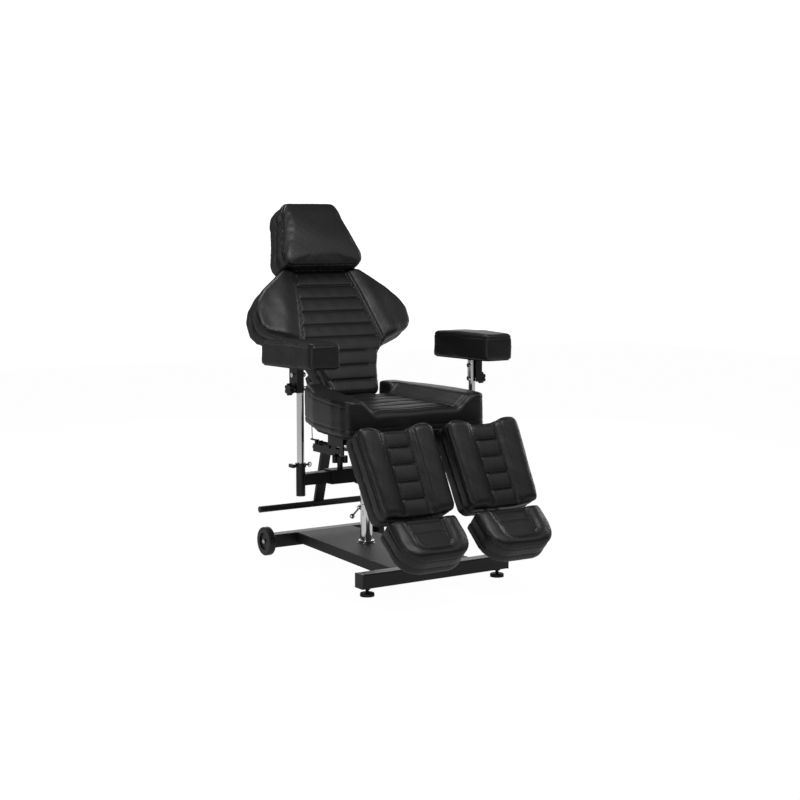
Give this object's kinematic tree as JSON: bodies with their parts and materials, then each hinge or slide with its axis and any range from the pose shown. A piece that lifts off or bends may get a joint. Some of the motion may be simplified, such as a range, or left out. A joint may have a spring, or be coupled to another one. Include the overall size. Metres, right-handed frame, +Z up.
{
  "type": "tattoo_chair",
  "caption": "Reclining tattoo chair with hydraulic lift, adjustable armrests, sliding tilting headrest, separately lifting calf and foot rests, and a wheeled base frame",
  "frame": {"origin": "centre of the bounding box on the floor, at rest", "axes": "+Z up, -Y towards the sitter's feet (front), +X the sitter's left"},
  "size_m": [0.8631, 1.2633, 1.3245],
  "materials": {
    "black_leather": "smooth semi-gloss synthetic leather",
    "black_paint": "satin black powder coat",
    "tray_paint": "satin black powder coat on sheet",
    "chrome": "polished chrome",
    "zinc": "bright zinc plated",
    "black_plastic": "moulded black plastic",
    "black_rubber": "black rubber",
    "spring_steel": "black spring wire",
    "board_ply": "dark stained plywood board"
  },
  "bodies": {
    "base": {"front_crossbar": "black_paint", "rear_crossbar": "black_paint", "crossbar_end_caps": "black_plastic", "base_tray": "tray_paint", "column_flange": "zinc", "wheel_axles": "zinc"},
    "swivel": {"column_tube": "chrome"},
    "swivel_handle": {"swivel_lever": "chrome"},
    "lift": {"lift_rod": "chrome", "pump_housing": "black_paint", "seat_frame": "black_paint", "hinge_pins": "zinc", "arm_cross_tube": "black_paint", "seat_board": "board_ply", "seat_cushion": "black_leather", "seat_bolster_left": "black_leather", "seat_bolster_right": "black_leather", "lock_rail": "black_paint", "lock_spring": "spring_steel"},
    "pedal": {"pedal_arm": "black_paint", "pedal_end_caps": "black_plastic"},
    "lock_plunger": {"lock_rod": "zinc"},
    "lock_handle": {"lock_lever": "black_paint"},
    "back": {"back_frame": "black_paint", "backrest_shell": "black_leather", "backrest_cushion": "black_leather"},
    "head_slide": {"headrest_rods": "chrome"},
    "head": {"headrest_carrier": "black_paint", "headrest_shell": "black_leather", "headrest_cushion": "black_leather"},
    "levelling_left": {"levelling_foot_left": "black_rubber"},
    "wheel_left": {"wheel_left": "black_plastic"},
    "calf_left": {"calf_bracket_left": "black_paint", "calf_cushion_left": "black_leather"},
    "foot_left": {"foot_bracket_left": "black_paint", "foot_cushion_left": "black_leather"},
    "arm_left": {"arm_tube_left": "black_paint"},
    "arm_clamp_left": {"arm_knob_left": "black_plastic"},
    "collar_left": {"post_collar_left": "black_paint"},
    "pin_left": {"post_pin_left": "zinc"},
    "post_left": {"arm_post_left": "chrome"},
    "clamp_left": {"clamp_knob_left": "black_plastic"},
    "armrest_left": {"armrest_bracket_left": "black_paint", "armrest_cushion_left": "black_leather"},
    "levelling_right": {"levelling_foot_right": "black_rubber"},
    "wheel_right": {"wheel_right": "black_plastic"},
    "calf_right": {"calf_bracket_right": "black_paint", "calf_cushion_right": "black_leather"},
    "foot_right": {"foot_bracket_right": "black_paint", "foot_cushion_right": "black_leather"},
    "arm_right": {"arm_tube_right": "black_paint"},
    "arm_clamp_right": {"arm_knob_right": "black_plastic"},
    "collar_right": {"post_collar_right": "black_paint"},
    "pin_right": {"post_pin_right": "zinc"},
    "post_right": {"arm_post_right": "chrome"},
    "clamp_right": {"clamp_knob_right": "black_plastic"},
    "armrest_right": {"armrest_bracket_right": "black_paint", "armrest_cushion_right": "black_leather"}
  },
  "joints": [
    {"name": "chair_swivel", "type": "hinge", "parent": "base", "child": "swivel", "pos_m": [0, 0.122, 0.06], "axis": [0, 0, 1], "continuous": true},
    {"name": "chair_lift", "type": "slide", "parent": "swivel", "child": "lift", "axis": [0, 0, 1], "range_m": [0, 0.16]},
    {"name": "swivel_brake", "type": "hinge", "parent": "swivel", "child": "swivel_handle", "pos_m": [-0.03, 0.122, 0.212], "axis": [1, 0, 0], "range_deg": [-40, 40]},
    {"name": "pump_pedal", "type": "hinge", "parent": "lift", "child": "pedal", "pos_m": [0, 0.188, 0.415], "axis": [-1, 0, 0], "range_deg": [0, 7], "stiffness_Nm_per_rad": 60, "springref_deg": -17.19},
    {"name": "back_recline", "type": "hinge", "parent": "lift", "child": "back", "pos_m": [0, 0.246, 0.545], "axis": [-1, 0, 0], "range_deg": [-10, 58]},
    {"name": "lock_plunge", "type": "slide", "parent": "lift", "child": "lock_plunger", "axis": [0, -1, 0], "range_m": [-0.01, 0.053]},
    {"name": "lock_release", "type": "hinge", "parent": "lift", "child": "lock_handle", "pos_m": [-0.2, 0.134, 0.468], "axis": [1, 0, 0], "range_deg": [0, 14], "stiffness_Nm_per_rad": 0.4, "springref_deg": -11.46},
    {"name": "headrest_height", "type": "slide", "parent": "back", "child": "head_slide", "axis": [0, 0.509, 0.8607], "range_m": [0, 0.08]},
    {"name": "headrest_tilt", "type": "hinge", "parent": "head_slide", "child": "head", "pos_m": [0, 0.55328, 1.03897], "axis": [-1, 0, 0], "range_deg": [0, 35]},
    {"name": "levelling_turn_left", "type": "hinge", "parent": "base", "child": "levelling_left", "pos_m": [0.271, -0.319, 0.02], "axis": [0, 0, 1], "continuous": true},
    {"name": "wheel_spin_left", "type": "hinge", "parent": "base", "child": "wheel_left", "pos_m": [0.2415, 0.449, 0.054], "axis": [1, 0, 0], "continuous": true},
    {"name": "calf_lift_left", "type": "hinge", "parent": "lift", "child": "calf_left", "pos_m": [0.18, -0.253, 0.496], "axis": [-1, 0, 0], "range_deg": [0, 61]},
    {"name": "foot_tilt_left", "type": "hinge", "parent": "calf_left", "child": "foot_left", "pos_m": [0.18, -0.424, 0.226], "axis": [1, 0, 0], "range_deg": [0, 20]},
    {"name": "arm_slide_left", "type": "slide", "parent": "lift", "child": "arm_left", "axis": [1, 0, 0], "range_m": [-0.03, 0.08]},
    {"name": "arm_knob_turn_left", "type": "hinge", "parent": "lift", "child": "arm_clamp_left", "pos_m": [0.205, -0.034, 0.41], "axis": [0, 0, 1], "continuous": true},
    {"name": "post_turn_left", "type": "hinge", "parent": "arm_left", "child": "collar_left", "pos_m": [0.363, -0.034, 0.415], "axis": [0, 0, 1], "range_deg": [-90, 90]},
    {"name": "pin_pull_left", "type": "slide", "parent": "collar_left", "child": "pin_left", "axis": [-1, 0, 0], "range_m": [0, 0.006], "stiffness_N_per_m": 500, "springref_m": -0.004},
    {"name": "post_height_left", "type": "slide", "parent": "collar_left", "child": "post_left", "axis": [0, 0, 1], "range_m": [-0.05, 0.06]},
    {"name": "armrest_tilt_left", "type": "hinge", "parent": "post_left", "child": "armrest_left", "pos_m": [0.363, -0.034, 0.728], "axis": [1, 0, 0], "range_deg": [-10, 10]},
    {"name": "clamp_turn_left", "type": "hinge", "parent": "post_left", "child": "clamp_left", "pos_m": [0.4, -0.034, 0.68], "axis": [1, 0, 0], "continuous": true},
    {"name": "levelling_turn_right", "type": "hinge", "parent": "base", "child": "levelling_right", "pos_m": [-0.271, -0.319, 0.02], "axis": [0, 0, 1], "continuous": true},
    {"name": "wheel_spin_right", "type": "hinge", "parent": "base", "child": "wheel_right", "pos_m": [-0.2415, 0.449, 0.054], "axis": [1, 0, 0], "continuous": true},
    {"name": "calf_lift_right", "type": "hinge", "parent": "lift", "child": "calf_right", "pos_m": [-0.18, -0.253, 0.496], "axis": [-1, 0, 0], "range_deg": [0, 61]},
    {"name": "foot_tilt_right", "type": "hinge", "parent": "calf_right", "child": "foot_right", "pos_m": [-0.18, -0.424, 0.226], "axis": [1, 0, 0], "range_deg": [0, 20]},
    {"name": "arm_slide_right", "type": "slide", "parent": "lift", "child": "arm_right", "axis": [-1, 0, 0], "range_m": [-0.03, 0.08]},
    {"name": "arm_knob_turn_right", "type": "hinge", "parent": "lift", "child": "arm_clamp_right", "pos_m": [-0.205, -0.034, 0.41], "axis": [0, 0, 1], "continuous": true},
    {"name": "post_turn_right", "type": "hinge", "parent": "arm_right", "child": "collar_right", "pos_m": [-0.363, -0.034, 0.415], "axis": [0, 0, 1], "range_deg": [-90, 90]},
    {"name": "pin_pull_right", "type": "slide", "parent": "collar_right", "child": "pin_right", "axis": [1, 0, 0], "range_m": [0, 0.006], "stiffness_N_per_m": 500, "springref_m": -0.004},
    {"name": "post_height_right", "type": "slide", "parent": "collar_right", "child": "post_right", "axis": [0, 0, 1], "range_m": [-0.05, 0.06]},
    {"name": "armrest_tilt_right", "type": "hinge", "parent": "post_right", "child": "armrest_right", "pos_m": [-0.363, -0.034, 0.728], "axis": [1, 0, 0], "range_deg": [-10, 10]},
    {"name": "clamp_turn_right", "type": "hinge", "parent": "post_right", "child": "clamp_right", "pos_m": [-0.4, -0.034, 0.68], "axis": [1, 0, 0], "continuous": true}
  ],
  "couplings": [
    {"joint": "lock_plunge", "follows": "back_recline", "m_per_rad": 0.05}
  ]
}
